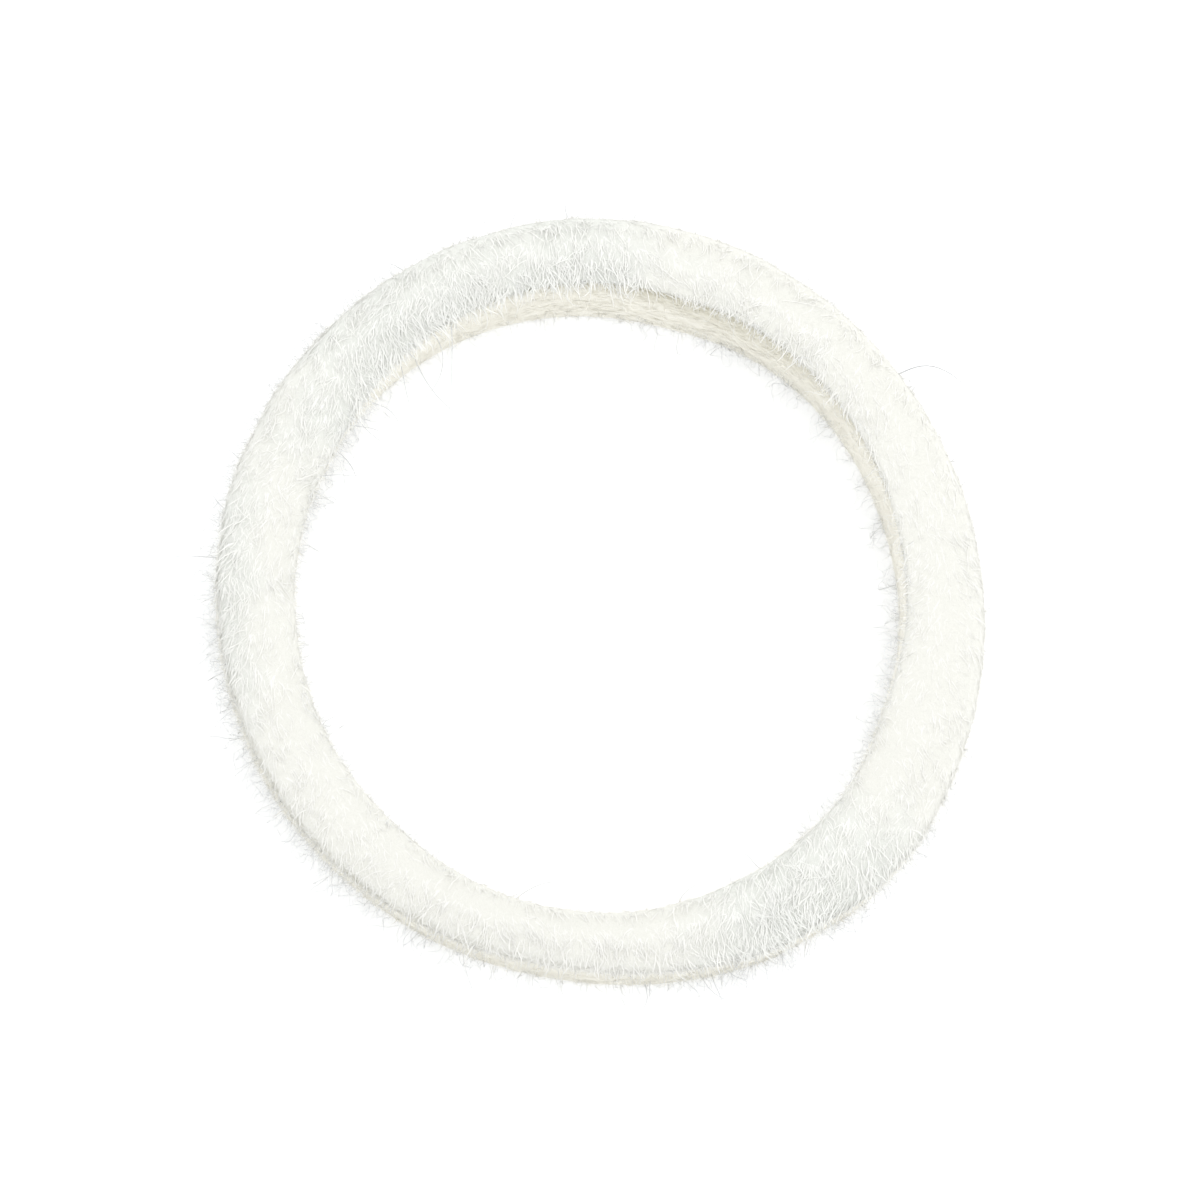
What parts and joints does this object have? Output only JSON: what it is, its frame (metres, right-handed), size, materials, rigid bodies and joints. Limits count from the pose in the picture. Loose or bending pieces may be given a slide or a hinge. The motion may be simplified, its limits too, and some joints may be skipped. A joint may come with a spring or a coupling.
{
  "type": "felt ring",
  "caption": "Plain ring of thick white wool felt, used as a polishing or sealing ring, with a wide round bore and square-cut walls.",
  "frame": {"origin": "centre of the ring's lower face, on the bore axis", "axes": "+Z along the bore axis, from the lower face to the upper face"},
  "size_m": [0.062, 0.062, 0.008],
  "materials": {
    "wool_felt": "white pressed wool felt, fibrous faces and smooth cut walls, matt"
  },
  "bodies": {
    "root": {"felt_ring": "wool_felt"}
  },
  "joints": []
}
